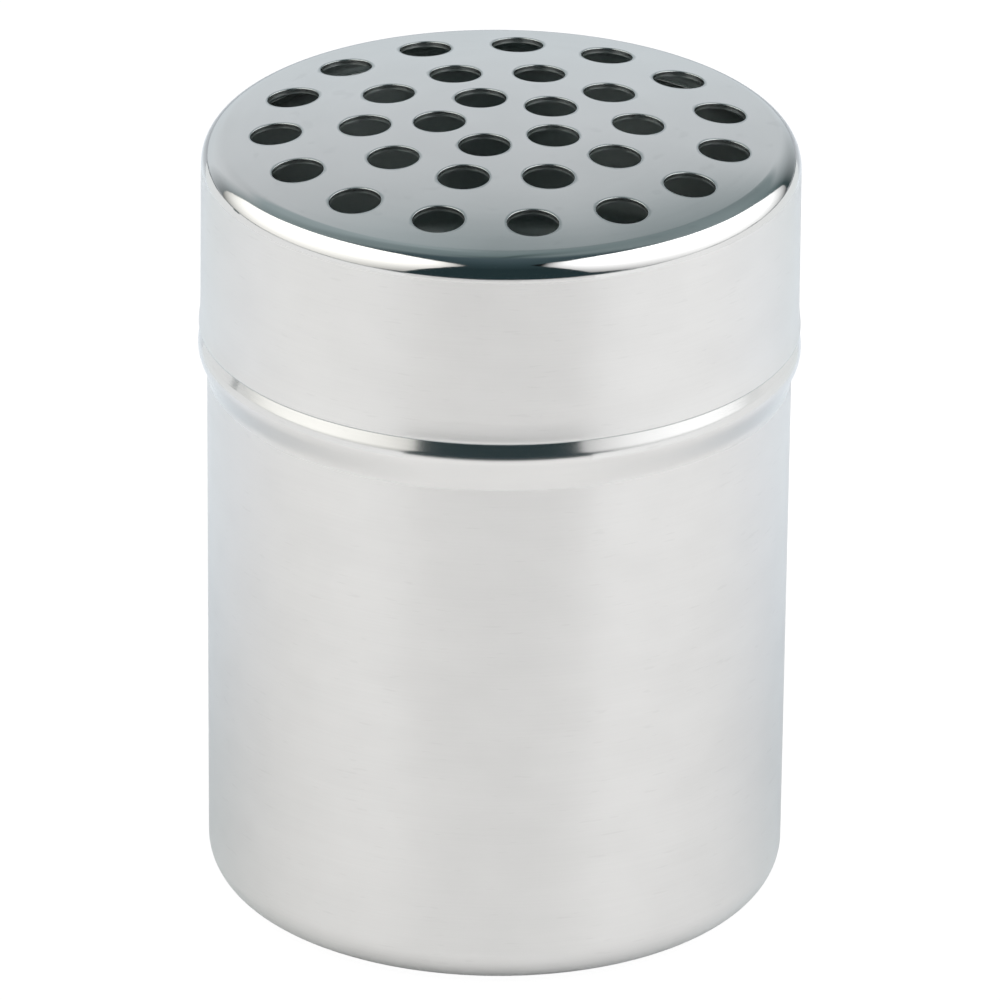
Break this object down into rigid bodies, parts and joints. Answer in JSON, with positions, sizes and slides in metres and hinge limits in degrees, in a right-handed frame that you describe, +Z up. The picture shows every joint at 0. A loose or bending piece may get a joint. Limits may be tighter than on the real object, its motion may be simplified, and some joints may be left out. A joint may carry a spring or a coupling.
{
  "type": "spice shaker",
  "caption": "Round steel shaker: a straight cup with a rolled bead under its neck, and a push-on domed lid with rings of sprinkle holes that lifts off to fill it.",
  "frame": {"origin": "centre of the base, on the surface that the shaker stands on", "axes": "+Z up along the shaker's axis, out of the sprinkle lid; +X and +Y radial, with one hole of each ring on -X"},
  "size_m": [0.07, 0.07, 0.0954],
  "materials": {
    "cup_steel": "fine round brushing on the wall, polished bead",
    "lid_steel": "fine round brushing on the skirt, smooth satin crown, polished rim"
  },
  "bodies": {
    "cup": {"shaker_cup": "cup_steel"},
    "lid": {"sprinkle_lid": "lid_steel"}
  },
  "joints": [
    {"name": "lid_lift", "type": "slide", "parent": "cup", "child": "lid", "axis": [0, 0, 1], "range_m": [0, 0.06]}
  ]
}
